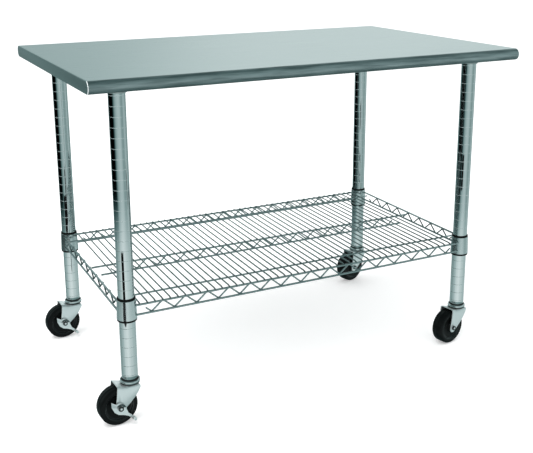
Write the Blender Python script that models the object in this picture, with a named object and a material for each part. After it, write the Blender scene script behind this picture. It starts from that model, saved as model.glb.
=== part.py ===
"""Stainless work table on swivel casters, with a wire under-shelf.

Metres, +Z up. The origin is on the floor under the middle of the table top,
+X runs along the length and the front long edge faces -Y.
"""

import math

import bmesh
import bpy
from mathutils import Matrix, Vector

# ---------------------------------------------------------------- dimensions

GAP = 0.0003                    # clearance between pieces that touch

TOP_LENGTH = 1.2192             # 48 in
TOP_DEPTH = 0.762               # 30 in
TOP_EDGE = 0.03175              # 1 1/4 in turned-down edge
TOP_GAUGE = 0.0015              # 16 gauge sheet
TOP_RETURN = 0.012              # lip that turns in under the rounded long edges
OVERALL_HEIGHT = 0.892

CHANNEL_DEPTH = 0.022
CHANNEL_CROWN = 0.052
CHANNEL_FLANGE = 0.016
CHANNEL_GAUGE = 0.0015
CROSS_CHANNEL_LENGTH = 0.690
LONG_CHANNEL_LENGTH = 0.930

POST_SPAN_X = 1.033             # post axis to post axis
POST_SPAN_Y = 0.564
POST_RADIUS = 0.02065           # 1 5/8 in tube
POST_WALL = 0.00165
POST_BOTTOM = 0.1156
GROOVE_DEPTH = 0.0009           # the notch that the sleeve engages
GROOVE_HEIGHT = 0.0026

SOCKET_PLATE = (0.080, 0.070, 0.003)
SOCKET_INNER = POST_RADIUS + 0.00035
SOCKET_OUTER = 0.0242
SOCKET_DEPTH = 0.0185
SCREW_RADIUS = 0.0026
SCREW_LENGTH = 0.0065

COLLAR_TOP = OVERALL_HEIGHT - 0.5625
COLLAR_HEIGHT = 0.0508          # 2 in
COLLAR_TOP_RADIUS = 0.0238
COLLAR_BOTTOM_RADIUS = 0.0256
COLLAR_WALL = 0.0018
SLEEVE_OVERHANG = 0.0052        # plastic seen above and below the collar
SLEEVE_INNER = POST_RADIUS + GAP
SLEEVE_SPLIT = 0.0004

RAIL_RADIUS = 0.0028
RAIL_OFFSET = 0.017             # rail centre outboard of the post axes
TRUSS_HEIGHT = 0.0255
LONG_RAIL_Z = OVERALL_HEIGHT - 0.5775
DECK_RADIUS = 0.0020
DECK_COUNT = 49
DECK_PITCH = 0.02033
DECK_OVERHANG = 0.0035
STRINGER_RADIUS = 0.0024
STRINGER_Y = 0.236
SNAKE_RADIUS = 0.0021
SNAKE_PITCH = 0.0608
MID_BOTTOM_RAIL_LENGTH = 1.000

CASTER_HEADINGS = {"fl": 184, "fr": 192, "bl": 184, "br": 196}   # degrees from +X to the trail
CASTER_TRAIL = 0.0375
WHEEL_RADIUS = 0.0508           # 4 in wheel
WHEEL_HALF_WIDTH = 0.0185
FORK_INNER = 0.0212             # half the space between the legs
FORK_GAUGE = 0.0025
FORK_CROWN_Z = 0.104
FORK_NOSE_Z = 0.1102
RING_RADIUS = 0.0255
RING_HEIGHT = 0.0108
STUD_RADIUS = 0.0078
KINGPIN_RADIUS = 0.0060
AXLE_RADIUS = 0.0040            # M8 bolt
BOLT_ACROSS = 0.0130
LEVER_GAUGE = 0.0020

POSTS = {
    "fl": (-POST_SPAN_X / 2, -POST_SPAN_Y / 2),
    "fr": (POST_SPAN_X / 2, -POST_SPAN_Y / 2),
    "bl": (-POST_SPAN_X / 2, POST_SPAN_Y / 2),
    "br": (POST_SPAN_X / 2, POST_SPAN_Y / 2),
}
BRAKED = ("fl", "bl")
ROUND = 20                      # facets on the posts and what fits round them

# ------------------------------------------------------------------- helpers

for old in list(bpy.data.objects):
    bpy.data.objects.remove(old, do_unlink=True)


def material(name, colour, metallic, roughness):
    """A Principled material with one colour, metallic value and roughness."""
    mat = bpy.data.materials.new(name)
    mat.use_nodes = True
    shader = mat.node_tree.nodes["Principled BSDF"]
    shader.inputs["Base Color"].default_value = (*colour, 1.0)
    shader.inputs["Metallic"].default_value = metallic
    shader.inputs["Roughness"].default_value = roughness
    mat.diffuse_color = (*colour, 1.0)
    return mat


STAINLESS = material("satin_stainless", (0.62, 0.67, 0.66), 1.0, 0.32)
CHROME = material("bright_chrome", (0.72, 0.76, 0.76), 1.0, 0.12)
ZINC = material("zinc_plate", (0.66, 0.70, 0.69), 1.0, 0.38)
PLASTIC = material("black_plastic", (0.012, 0.012, 0.013), 0.0, 0.45)
RUBBER = material("black_tread", (0.010, 0.011, 0.011), 0.0, 0.62)


def mesh_from(bm, name):
    """Close a bmesh into a mesh whose faces point out, shaded smooth with sharp edges."""
    bmesh.ops.recalc_face_normals(bm, faces=bm.faces[:])
    mesh = bpy.data.meshes.new(name)
    bm.to_mesh(mesh)
    bm.free()
    mesh.shade_smooth()
    mesh.set_sharp_from_angle(angle=math.radians(35))
    return mesh


def add(name, mesh, mat, location=(0, 0, 0), rotation=(0, 0, 0), parent=None):
    """Put a mesh in the scene as one named piece."""
    obj = bpy.data.objects.new(name, mesh)
    obj.location = location
    obj.rotation_euler = rotation
    obj.parent = parent
    if not mesh.materials:
        mesh.materials.append(mat)
    bpy.context.scene.collection.objects.link(obj)
    return obj


def combine(name, body, tools, operation):
    """Boolean meshes into a body one after another and return the result."""
    target = add(name, body, STAINLESS)
    helpers = []
    for tool in tools:
        helper = add(name + "_tool", tool, STAINLESS)
        helper.hide_render = True
        helper.display_type = "WIRE"
        cut = target.modifiers.new("boolean", "BOOLEAN")
        cut.operation = operation
        cut.solver = "EXACT"
        cut.object = helper
        helpers.append(helper)
    bpy.context.view_layer.update()
    ready = target.evaluated_get(bpy.context.evaluated_depsgraph_get())
    result = bpy.data.meshes.new_from_object(ready)
    result.name = name
    result.materials.clear()
    for used in (target, *helpers):
        bpy.data.objects.remove(used, do_unlink=True)
    result.shade_smooth()
    result.set_sharp_from_angle(angle=math.radians(35))
    return result


def joined(name, meshes):
    """Several separate closed meshes in one, for use as a boolean operand."""
    bm = bmesh.new()
    for mesh in meshes:
        bm.from_mesh(mesh)
    return mesh_from(bm, name)


def prism(name, outline, low, high, axis):
    """Extrude a closed 2-D outline along an axis.

    The outline is (y, z) along X, (x, z) along Y and (x, y) along Z.
    """
    place = {
        "X": lambda u, v, w: (w, u, v),
        "Y": lambda u, v, w: (u, w, v),
        "Z": lambda u, v, w: (u, v, w),
    }[axis]
    bm = bmesh.new()
    first = [bm.verts.new(place(u, v, low)) for u, v in outline]
    last = [bm.verts.new(place(u, v, high)) for u, v in outline]
    bm.faces.new(first)
    bm.faces.new(last)
    for i in range(len(outline)):
        j = (i + 1) % len(outline)
        bm.faces.new((first[i], first[j], last[j], last[i]))
    return mesh_from(bm, name)


def lathe(name, profile, segments, start=0.0, sweep=2 * math.pi):
    """Revolve a closed (radius, z) profile about Z; a partial sweep is capped."""
    full = abs(sweep - 2 * math.pi) < 1e-9
    steps = segments if full else segments + 1
    bm = bmesh.new()
    rings = []
    poles = {}
    for k in range(steps):
        angle = start + sweep * k / segments
        ring = []
        for index, (radius, z) in enumerate(profile):
            if radius == 0.0:
                if index not in poles:
                    poles[index] = bm.verts.new((0, 0, z))
                ring.append(poles[index])
            else:
                ring.append(bm.verts.new((radius * math.cos(angle), radius * math.sin(angle), z)))
        rings.append(ring)
    for k in range(segments):
        a, b = rings[k], rings[(k + 1) % steps]
        for i in range(len(profile)):
            j = (i + 1) % len(profile)
            corners = list(dict.fromkeys((a[i], a[j], b[j], b[i])))
            if len(corners) > 2:
                bm.faces.new(corners)
    if not full:
        bm.faces.new(rings[0])
        bm.faces.new(rings[-1])
    return mesh_from(bm, name)


def wire(name, points, radius, sides, normal):
    """A round wire along a flat polyline, mitred at its bends and capped at its ends."""
    points = [Vector(p) for p in points]
    normal = Vector(normal).normalized()
    bm = bmesh.new()
    rings = []
    for i, point in enumerate(points):
        before = (point - points[i - 1]).normalized() if i > 0 else None
        after = (points[i + 1] - point).normalized() if i < len(points) - 1 else None
        before = before or after
        after = after or before
        across = (before.cross(normal) + after.cross(normal)).normalized()
        stretch = 1.0 / max(0.2, across.dot(before.cross(normal)))
        ring = []
        for k in range(sides):
            angle = 2 * math.pi * (k + 0.5) / sides
            offset = normal * math.cos(angle) + across * (math.sin(angle) * stretch)
            ring.append(bm.verts.new(point + offset * radius))
        rings.append(ring)
    for a, b in zip(rings, rings[1:]):
        for k in range(sides):
            j = (k + 1) % sides
            bm.faces.new((a[k], a[j], b[j], b[k]))
    bm.faces.new(rings[0])
    bm.faces.new(rings[-1])
    return mesh_from(bm, name)


def arc(centre, radius, first, last, steps):
    """Points on an arc in a plane, angles in degrees."""
    points = []
    for k in range(steps + 1):
        angle = math.radians(first + (last - first) * k / steps)
        points.append((centre[0] + radius * math.cos(angle), centre[1] + radius * math.sin(angle)))
    return points


def moved(mesh, matrix):
    """The same mesh, transformed in place."""
    mesh.transform(matrix)
    return mesh


# ----------------------------------------------------------------- table top

FRAME = bpy.data.objects.new("frame_origin", None)
bpy.context.scene.collection.objects.link(FRAME)


def worktop_sheet():
    """A pan of folded sheet: half-round long edges, flat turned-down ends, open below."""
    round_y = TOP_DEPTH / 2 - TOP_EDGE / 2
    mid_z = OVERALL_HEIGHT - TOP_EDGE / 2
    outer = arc((round_y, mid_z), TOP_EDGE / 2, -90, 90, 10)
    outer += arc((-round_y, mid_z), TOP_EDGE / 2, 90, 270, 10)
    inside = TOP_EDGE / 2 - TOP_GAUGE
    lip_y = round_y - TOP_RETURN
    below = OVERALL_HEIGHT - TOP_EDGE - 0.002
    hollow = [(lip_y, below), (lip_y, mid_z - inside)]
    hollow += arc((round_y, mid_z), inside, -90, 90, 10)
    hollow += arc((-round_y, mid_z), inside, 90, 270, 10)
    hollow += [(-lip_y, mid_z - inside), (-lip_y, below)]
    body = prism("worktop_sheet", outer, -TOP_LENGTH / 2, TOP_LENGTH / 2, "X")
    reach = TOP_LENGTH / 2 - TOP_GAUGE
    return combine("worktop_sheet", body, [prism("hollow", hollow, -reach, reach, "X")], "DIFFERENCE")


def hat_outline():
    """Section of a hat channel, flanges up against z = 0 and the crown hanging below."""
    half = CHANNEL_CROWN / 2
    wide = half + CHANNEL_FLANGE
    t = CHANNEL_GAUGE
    return [
        (-wide, 0), (-half + t, 0), (-half + t, -CHANNEL_DEPTH + t), (half - t, -CHANNEL_DEPTH + t),
        (half - t, 0), (wide, 0), (wide, -t), (half, -t),
        (half, -CHANNEL_DEPTH), (-half, -CHANNEL_DEPTH), (-half, -t), (-wide, -t),
    ]


def build_top():
    add("worktop_sheet", worktop_sheet(), STAINLESS, parent=FRAME)
    hang_z = OVERALL_HEIGHT - TOP_GAUGE - GAP
    outline = [(u, v + hang_z) for u, v in hat_outline()]
    for side, x in (("left", -POST_SPAN_X / 2), ("right", POST_SPAN_X / 2)):
        name = "cross_channel_" + side
        reach = CROSS_CHANNEL_LENGTH / 2
        add(name, prism(name, outline, -reach, reach, "Y"), STAINLESS, location=(x, 0, 0), parent=FRAME)
    reach = LONG_CHANNEL_LENGTH / 2
    add("center_channel", prism("center_channel", outline, -reach, reach, "X"), STAINLESS, parent=FRAME)


# Heights that stack down from the sheet: channel crown, socket plate, post end.
CROWN_Z = OVERALL_HEIGHT - TOP_GAUGE - GAP - CHANNEL_DEPTH
PLATE_Z = CROWN_Z - GAP - SOCKET_PLATE[2]
POST_TOP = PLATE_Z - GAP
SCREW_Z = -SOCKET_DEPTH * 0.6


def socket():
    """A flange plate with a short cup that takes the post end; z = 0 is under the plate."""
    x, y, thick = SOCKET_PLATE
    chamfer = 0.010
    plate = [
        (-x / 2 + chamfer, -y / 2), (x / 2 - chamfer, -y / 2), (x / 2, -y / 2 + chamfer),
        (x / 2, y / 2 - chamfer), (x / 2 - chamfer, y / 2), (-x / 2 + chamfer, y / 2),
        (-x / 2, y / 2 - chamfer), (-x / 2, -y / 2 + chamfer),
    ]
    cup = [
        (SOCKET_INNER, 0.001), (SOCKET_INNER, -SOCKET_DEPTH),
        (SOCKET_OUTER, -SOCKET_DEPTH), (SOCKET_OUTER, 0.001),
    ]
    body = combine(
        "socket", prism("plate", plate, 0.0, thick, "Z"), [lathe("cup", cup, ROUND)], "UNION"
    )
    tap = lathe("tap", [(0.0, 0.0), (SCREW_RADIUS + GAP, 0.0), (SCREW_RADIUS + GAP, 0.012), (0.0, 0.012)], 10)
    turn = Matrix.Translation((0, SOCKET_INNER - 0.003, SCREW_Z)) @ Matrix.Rotation(-math.pi / 2, 4, "X")
    return combine("socket", body, [moved(tap, turn)], "DIFFERENCE")


def set_screw():
    """Cup-point set screw along +Z, its driver recess at the outer end."""
    recess = SCREW_RADIUS * 0.5
    profile = [
        (0.0, 0.0), (SCREW_RADIUS * 0.7, 0.0), (SCREW_RADIUS, 0.0008), (SCREW_RADIUS, SCREW_LENGTH),
        (recess, SCREW_LENGTH), (recess, SCREW_LENGTH - 0.0025), (0.0, SCREW_LENGTH - 0.0025),
    ]
    return lathe("set_screw", profile, 10)


def post():
    """A tube with the notch that the shelf sleeve's inner ridge drops into."""
    notch = COLLAR_TOP - COLLAR_HEIGHT / 2
    inner = POST_RADIUS - POST_WALL
    profile = [(inner, POST_BOTTOM), (POST_RADIUS, POST_BOTTOM)]
    profile += [(POST_RADIUS, notch - GROOVE_HEIGHT / 2), (POST_RADIUS - GROOVE_DEPTH, notch - GROOVE_HEIGHT / 4)]
    profile += [(POST_RADIUS - GROOVE_DEPTH, notch + GROOVE_HEIGHT / 4), (POST_RADIUS, notch + GROOVE_HEIGHT / 2)]
    profile += [(POST_RADIUS, POST_TOP), (inner, POST_TOP)]
    return lathe("post", profile, ROUND)


def sleeve_half(start):
    """Half of the tapered split sleeve, thin at the top and thick at the bottom."""
    top = COLLAR_TOP + SLEEVE_OVERHANG
    bottom = COLLAR_TOP - COLLAR_HEIGHT - SLEEVE_OVERHANG
    notch = COLLAR_TOP - COLLAR_HEIGHT / 2
    thin = COLLAR_TOP_RADIUS - COLLAR_WALL - GAP
    thick = COLLAR_BOTTOM_RADIUS - COLLAR_WALL - GAP
    ridge = POST_RADIUS - GROOVE_DEPTH * 0.4
    profile = [
        (SLEEVE_INNER, bottom), (thick, bottom), (thin, top), (SLEEVE_INNER, top),
        (SLEEVE_INNER, notch + 0.0009), (ridge, notch), (SLEEVE_INNER, notch - 0.0009),
    ]
    trim = SLEEVE_SPLIT / 2 / SLEEVE_INNER
    return lathe("sleeve", profile, ROUND // 2, start + trim, math.pi - 2 * trim)


def build_posts():
    meshes = {"socket": socket(), "post": post(), "set_screw": set_screw()}
    for corner, (x, y) in POSTS.items():
        inward = math.pi if y > 0 else 0.0
        add("post_socket_" + corner, meshes["socket"], STAINLESS, (x, y, PLATE_Z), (0, 0, inward), FRAME)
        reach = (POST_RADIUS + GAP) * (-1 if y > 0 else 1)
        tilt = math.pi / 2 if y > 0 else -math.pi / 2
        add("set_screw_" + corner, meshes["set_screw"], ZINC, (x, y + reach, PLATE_Z + SCREW_Z), (tilt, 0, 0), FRAME)
        add("post_" + corner, meshes["post"], CHROME, (x, y, 0), parent=FRAME)
    halves = {"outer": sleeve_half(math.pi), "inner": sleeve_half(0.0)}
    for corner, (x, y) in POSTS.items():
        facing = math.pi if y > 0 else 0.0
        for which, mesh in halves.items():
            add("sleeve_" + which + "_" + corner, mesh, PLASTIC, (x, y, 0), (0, 0, facing), FRAME)


# --------------------------------------------------------------- under-shelf

SHELF = bpy.data.objects.new("shelf_origin", None)
bpy.context.scene.collection.objects.link(SHELF)

DECK_Z = LONG_RAIL_Z + RAIL_RADIUS + GAP + DECK_RADIUS
SIDE_RAIL_Z = DECK_Z + DECK_RADIUS - RAIL_RADIUS
FRONT_Y = POST_SPAN_Y / 2 + RAIL_OFFSET
SIDE_X = POST_SPAN_X / 2 + RAIL_OFFSET


def collar():
    low = COLLAR_TOP - COLLAR_HEIGHT
    profile = [
        (COLLAR_BOTTOM_RADIUS - COLLAR_WALL, low), (COLLAR_BOTTOM_RADIUS, low),
        (COLLAR_TOP_RADIUS, COLLAR_TOP), (COLLAR_TOP_RADIUS - COLLAR_WALL, COLLAR_TOP),
    ]
    return lathe("collar", profile, ROUND)


def rail_setback(z):
    """How far short of the post axis a rail ends, to stop inside the collar's wall."""
    share = (COLLAR_TOP - z) / COLLAR_HEIGHT
    bore = COLLAR_TOP_RADIUS + (COLLAR_BOTTOM_RADIUS - COLLAR_TOP_RADIUS) * share - COLLAR_WALL
    return math.sqrt((bore + 0.0002) ** 2 - (RAIL_OFFSET - RAIL_RADIUS) ** 2)


def shelf_frame():
    """Four collars with the top and bottom rails of all four sides welded to them."""
    collars = [moved(collar(), Matrix.Translation((x, y, 0))) for x, y in POSTS.values()]
    rails = []
    for drop in (0.0, TRUSS_HEIGHT):
        z = LONG_RAIL_Z - drop
        reach = POST_SPAN_X / 2 - rail_setback(z)
        for y in (-FRONT_Y, FRONT_Y):
            rails.append(wire("rail", [(-reach, y, z), (reach, y, z)], RAIL_RADIUS, 8, (0, 0, 1)))
        z = SIDE_RAIL_Z - drop
        reach = POST_SPAN_Y / 2 - rail_setback(z)
        for x in (-SIDE_X, SIDE_X):
            rails.append(wire("rail", [(x, -reach, z), (x, reach, z)], RAIL_RADIUS, 8, (0, 0, 1)))
    return combine("shelf_frame", joined("collars", collars), [joined("rails", rails)], "UNION")


def shelf_deck():
    """The row of deck wires, welded across a front and a rear stringer."""
    reach = FRONT_Y + DECK_OVERHANG
    bars = []
    for k in range(DECK_COUNT):
        x = (k - (DECK_COUNT - 1) / 2) * DECK_PITCH
        bars.append(wire("bar", [(x, -reach, DECK_Z), (x, reach, DECK_Z)], DECK_RADIUS, 6, (0, 0, 1)))
    z = DECK_Z - DECK_RADIUS - STRINGER_RADIUS + 0.0009
    long = SIDE_X - RAIL_RADIUS - 2 * SNAKE_RADIUS - 0.001
    stringers = []
    for y in (-STRINGER_Y, STRINGER_Y):
        stringers.append(wire("stringer", [(-long, y, z), (long, y, z)], STRINGER_RADIUS, 6, (0, 0, 1)))
    return combine("shelf_deck", joined("stringers", stringers), [joined("bars", bars)], "UNION")


def snake(name, half_count, high, low):
    """A zigzag wire along X, its bends blunted; it ends half way up at both ends."""
    points = []
    apexes = 2 * half_count + 1
    run = SNAKE_PITCH / 2
    blunt = 0.12
    middle = (high + low) / 2
    start = -half_count * run
    points.append((start - run / 2, 0, middle))
    for k in range(apexes):
        x = start + k * run
        z = low if k % 2 == 0 else high
        shift = (middle - z) * 2 * blunt
        points.append((x - run * blunt, 0, z + shift * 0.35))
        points.append((x + run * blunt, 0, z + shift * 0.35))
    points.append((start + (apexes - 1) * run + run / 2, 0, middle))
    return wire(name, points, SNAKE_RADIUS, 5, (0, 1, 0))


def build_shelf():
    add("shelf_frame", shelf_frame(), CHROME, parent=SHELF)
    add("shelf_deck", shelf_deck(), CHROME, parent=SHELF)
    inboard = RAIL_RADIUS + SNAKE_RADIUS + GAP
    low = LONG_RAIL_Z - TRUSS_HEIGHT
    long_snake = snake("long_snake", 15, LONG_RAIL_Z, low)
    add("snake_front", long_snake, CHROME, (0, -FRONT_Y + inboard, 0), parent=SHELF)
    add("snake_rear", long_snake, CHROME, (0, FRONT_Y - inboard, 0), parent=SHELF)
    short_snake = snake("short_snake", 7, SIDE_RAIL_Z, SIDE_RAIL_Z - TRUSS_HEIGHT)
    quarter = (0, 0, math.pi / 2)
    add("snake_left", short_snake, CHROME, (-SIDE_X + inboard, 0, 0), quarter, SHELF)
    add("snake_right", short_snake, CHROME, (SIDE_X - inboard, 0, 0), quarter, SHELF)
    long = SIDE_X - RAIL_RADIUS - 2 * SNAKE_RADIUS - 0.001
    top_rail = wire("mid_rail_top", [(-long, 0, LONG_RAIL_Z), (long, 0, LONG_RAIL_Z)], RAIL_RADIUS, 8, (0, 0, 1))
    add("mid_rail_top", top_rail, CHROME, parent=SHELF)
    half = MID_BOTTOM_RAIL_LENGTH / 2
    bottom_rail = wire("mid_rail_bottom", [(-half, 0, low), (half, 0, low)], RAIL_RADIUS, 8, (0, 0, 1))
    add("mid_rail_bottom", bottom_rail, CHROME, parent=SHELF)
    add("snake_mid", long_snake, CHROME, (0, inboard, 0), parent=SHELF)


# ------------------------------------------------------------------- casters
# Modelled with the swivel axis at x = y = 0 and the wheel trailing along +X.


def stem():
    """The caster's stud, up inside the post, and its kingpin, riveted under the fork."""
    ring_low = FORK_CROWN_Z + GAP
    bore = POST_RADIUS - POST_WALL - 0.0004
    profile = [
        (0.0, FORK_CROWN_Z - 0.0085), (0.0085, FORK_CROWN_Z - 0.0085),
        (0.0085, FORK_CROWN_Z - FORK_GAUGE - GAP), (KINGPIN_RADIUS, FORK_CROWN_Z - FORK_GAUGE - GAP),
        (KINGPIN_RADIUS, ring_low + RING_HEIGHT + GAP), (bore, ring_low + RING_HEIGHT + GAP),
        (bore, POST_BOTTOM + 0.022), (STUD_RADIUS, POST_BOTTOM + 0.024),
        (STUD_RADIUS, POST_BOTTOM + 0.045), (0.0, POST_BOTTOM + 0.045),
    ]
    return lathe("stem", profile, 12)


def bearing_ring():
    """The pressed ring that houses the swivel balls between the post and the fork."""
    low = FORK_CROWN_Z + GAP
    high = low + RING_HEIGHT
    inner = KINGPIN_RADIUS + 0.0004
    profile = [
        (inner, low), (RING_RADIUS - 0.0020, low), (RING_RADIUS, low + 0.0015),
        (RING_RADIUS - 0.0004, high - 0.0040), (RING_RADIUS - 0.0030, high), (inner, high),
    ]
    return lathe("bearing_ring", profile, ROUND)


FORK_SIDE = [                   # (trail, height) outline of the stamped fork seen from the side
    (-0.0190, 0.0955), (-0.0180, 0.1010), (-0.0140, FORK_CROWN_Z), (0.0240, FORK_CROWN_Z),
    (0.0420, FORK_NOSE_Z), (0.0430, FORK_NOSE_Z - 0.0022), (0.0436, 0.0980),
    (0.0448, 0.0850), (0.0476, 0.0660), (0.0500, 0.0530), (0.0496, 0.0440), (0.0450, 0.0382),
    (0.0375, 0.0368), (0.0300, 0.0402), (0.0210, 0.0490), (0.0075, 0.0605), (-0.0055, 0.0740),
    (-0.0130, 0.0850),
]
FORK_SPACE = [                  # what is cut from between the legs
    (-0.0400, 0.0300), (-0.0400, FORK_CROWN_Z - FORK_GAUGE), (0.0234, FORK_CROWN_Z - FORK_GAUGE),
    (0.0414, FORK_NOSE_Z - FORK_GAUGE), (0.0594, FORK_NOSE_Z + 0.0037), (0.0594, 0.0300),
]


def drill(radius, low, high, segments=14):
    return lathe("drill", [(0.0, low), (radius, low), (radius, high), (0.0, high)], segments)


def crosswise(mesh, x, z):
    """Turn a mesh from along Z to along Y and put it on the axle line."""
    return moved(mesh, Matrix.Translation((x, 0, z)) @ Matrix.Rotation(math.pi / 2, 4, "X"))


def fork():
    """Stamped inverted-U fork with a kingpin hole and an axle hole through both legs."""
    wide = FORK_INNER + FORK_GAUGE
    body = prism("fork", FORK_SIDE, -wide, wide, "Y")
    space = prism("space", FORK_SPACE, -FORK_INNER, FORK_INNER, "Y")
    pin_hole = drill(KINGPIN_RADIUS + 0.0004, FORK_CROWN_Z - 0.01, FORK_CROWN_Z + 0.01)
    axle_hole = crosswise(drill(AXLE_RADIUS + 0.0004, -0.04, 0.04), CASTER_TRAIL, WHEEL_RADIUS)
    return combine("fork", body, [space, pin_hole, axle_hole], "DIFFERENCE")


def wheel():
    """Tread, dished sides and hub, turned in one piece about Z."""
    rim = WHEEL_RADIUS
    half = WHEEL_HALF_WIDTH
    bore = AXLE_RADIUS + 0.0005
    upper = [
        (rim, half - 0.0070), (rim - 0.0060, half), (rim - 0.0150, half), (rim - 0.0170, half - 0.0040),
        (0.0150, half - 0.0040), (0.0140, half), (bore, half),
    ]
    lower = [(r, -z) for r, z in reversed(upper)]
    return lathe("wheel", lower + upper, 24, start=math.pi / 2)


def hexagon(across):
    radius = across / math.sqrt(3)
    return [(radius * math.cos(math.pi * k / 3), radius * math.sin(math.pi * k / 3)) for k in range(6)]


def axle_bolt(seat):
    """Hex bolt along +Z with its head at the top; the head's seat is this far along."""
    head = prism("head", hexagon(BOLT_ACROSS), seat, seat + 0.0055, "Z")
    shank = drill(AXLE_RADIUS, -FORK_INNER - FORK_GAUGE - 0.0105, seat + 0.001, 14)
    return combine("axle_bolt", head, [shank], "UNION")


def axle_nut():
    outside = -FORK_INNER - FORK_GAUGE - GAP
    body = prism("nut", hexagon(BOLT_ACROSS), outside - 0.0075, outside, "Z")
    return combine("axle_nut", body, [drill(AXLE_RADIUS + GAP, outside - 0.02, outside + 0.01)], "DIFFERENCE")


LEVER_PLATE = [                 # (trail, height) from the axle: plate that wraps the fork's tip
    (0.0255, 0.0245), (0.0238, 0.0080), (0.0170, -0.0070), (0.0065, -0.0160), (-0.0080, -0.0205),
    (-0.0170, -0.0245), (-0.0280, -0.0320), (-0.0315, -0.0275), (-0.0205, -0.0180),
    (-0.0158, -0.0060), (-0.0150, 0.0015), (-0.0100, 0.0088), (-0.0040, 0.0142),
    (0.0023, 0.0165), (0.0080, 0.0160), (0.0125, 0.0152), (0.0200, 0.0200),
]


def brake_lever():
    """Side lever on the axle with a foot tab turned outwards at its lower end."""
    inner = FORK_INNER + FORK_GAUGE + GAP
    plate = prism("lever", LEVER_PLATE, inner, inner + LEVER_GAUGE, "Y")
    tab = [(-0.0305, -0.0270), (-0.0265, -0.0320), (-0.0345, -0.0385), (-0.0385, -0.0335)]
    pedal = prism("tab", tab, inner, inner + 0.0140, "Y")
    plate = combine("brake_lever", plate, [pedal], "UNION")
    hole = moved(drill(AXLE_RADIUS + 0.0004, -0.04, 0.04), Matrix.Rotation(math.pi / 2, 4, "X"))
    return combine("brake_lever", plate, [hole], "DIFFERENCE")


def build_casters():
    outside = FORK_INNER + FORK_GAUGE + GAP
    shapes = {
        "stem": stem(), "ring": bearing_ring(), "fork": fork(), "wheel": wheel(), "nut": axle_nut(),
        "lever": brake_lever(), "plain_bolt": axle_bolt(outside),
        "brake_bolt": axle_bolt(outside + LEVER_GAUGE + GAP),
    }
    for corner, (x, y) in POSTS.items():
        swivel = bpy.data.objects.new("swivel_" + corner, None)
        swivel.location = (x, y, 0)
        swivel.rotation_euler = (0, 0, math.radians(CASTER_HEADINGS[corner]))
        bpy.context.scene.collection.objects.link(swivel)
        axle = (CASTER_TRAIL, 0, WHEEL_RADIUS)
        across = (-math.pi / 2, 0, 0)
        add("caster_stem_" + corner, shapes["stem"], ZINC, (x, y, 0), parent=FRAME)
        add("bearing_ring_" + corner, shapes["ring"], ZINC, (x, y, 0), parent=FRAME)
        add("fork_" + corner, shapes["fork"], ZINC, parent=swivel)
        add("wheel_" + corner, shapes["wheel"], RUBBER, axle, across, swivel)
        bolt = "brake_bolt" if corner in BRAKED else "plain_bolt"
        add("axle_bolt_" + corner, shapes[bolt], ZINC, axle, across, swivel)
        add("axle_nut_" + corner, shapes["nut"], ZINC, axle, across, swivel)
        if corner in BRAKED:
            add("brake_lever_" + corner, shapes["lever"], ZINC, axle, parent=swivel)


build_top()
build_posts()
build_shelf()
build_casters()
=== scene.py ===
"""Looks of a stainless work table: fine meshes, materials, studio and camera round the CAD frame.

Metres, +Z up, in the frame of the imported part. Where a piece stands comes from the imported
nodes' boxes; the section sizes below repeat the CAD's own driving dimensions.
"""

import math

import bmesh
import bpy
from mathutils import Matrix, Vector


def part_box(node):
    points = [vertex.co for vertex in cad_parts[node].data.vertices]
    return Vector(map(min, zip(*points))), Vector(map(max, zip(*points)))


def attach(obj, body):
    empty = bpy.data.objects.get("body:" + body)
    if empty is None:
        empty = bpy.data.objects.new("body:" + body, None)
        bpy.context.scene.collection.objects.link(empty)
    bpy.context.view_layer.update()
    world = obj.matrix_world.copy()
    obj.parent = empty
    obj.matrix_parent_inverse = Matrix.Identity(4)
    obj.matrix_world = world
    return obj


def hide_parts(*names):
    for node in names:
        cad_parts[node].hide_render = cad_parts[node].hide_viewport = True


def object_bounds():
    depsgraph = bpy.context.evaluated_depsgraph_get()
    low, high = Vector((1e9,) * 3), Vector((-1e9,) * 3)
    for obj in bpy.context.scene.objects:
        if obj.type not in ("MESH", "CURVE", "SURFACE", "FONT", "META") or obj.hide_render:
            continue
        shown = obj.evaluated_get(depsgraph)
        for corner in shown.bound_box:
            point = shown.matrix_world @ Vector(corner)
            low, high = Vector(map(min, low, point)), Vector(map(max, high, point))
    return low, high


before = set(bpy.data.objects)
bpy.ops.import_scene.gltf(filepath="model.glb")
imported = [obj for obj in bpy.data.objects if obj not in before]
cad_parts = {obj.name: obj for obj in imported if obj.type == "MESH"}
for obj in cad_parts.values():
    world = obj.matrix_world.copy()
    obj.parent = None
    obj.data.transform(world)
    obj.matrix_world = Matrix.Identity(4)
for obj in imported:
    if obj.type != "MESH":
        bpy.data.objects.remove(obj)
cad_low, cad_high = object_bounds()

# ---------------------------------------------------------------- dimensions

TOP_EDGE = 0.03175              # height of the half-round front and rear edges
TOP_GAUGE = 0.0015
TOP_RETURN = 0.012
END_BEND = 0.0014               # bend radius where the sheet turns down at the ends

POST_WALL = 0.00165
GROOVE_PITCH = 0.0254
GROOVE_FIRST = 0.0513           # highest groove, below the top of the table
GROOVE_DEPTH = 0.0001
GROOVE_HEIGHT = 0.0016

COLLAR_HEIGHT = 0.0508
COLLAR_TOP_RADIUS = 0.0238
COLLAR_BOTTOM_RADIUS = 0.0256
COLLAR_WALL = 0.0018
SLEEVE_OVERHANG = 0.0052
SLEEVE_SPLIT = 0.0004

RAIL_RADIUS = 0.0028
RAIL_OFFSET = 0.017
TRUSS_HEIGHT = 0.0255
DECK_RADIUS = 0.0020
DECK_COUNT = 49
END_DIP = 0.0026                # a deck wire's end is pressed down this much onto its rail
END_DIP_RUN = 0.012
STRINGER_RADIUS = 0.0024
STRINGER_Y = 0.236
SNAKE_RADIUS = 0.0021
SNAKE_PITCH = 0.0608
SNAKE_BEND = 0.0062
WELD_SINK = 0.0006              # how far crossing wires sink into each other where they are welded

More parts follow.
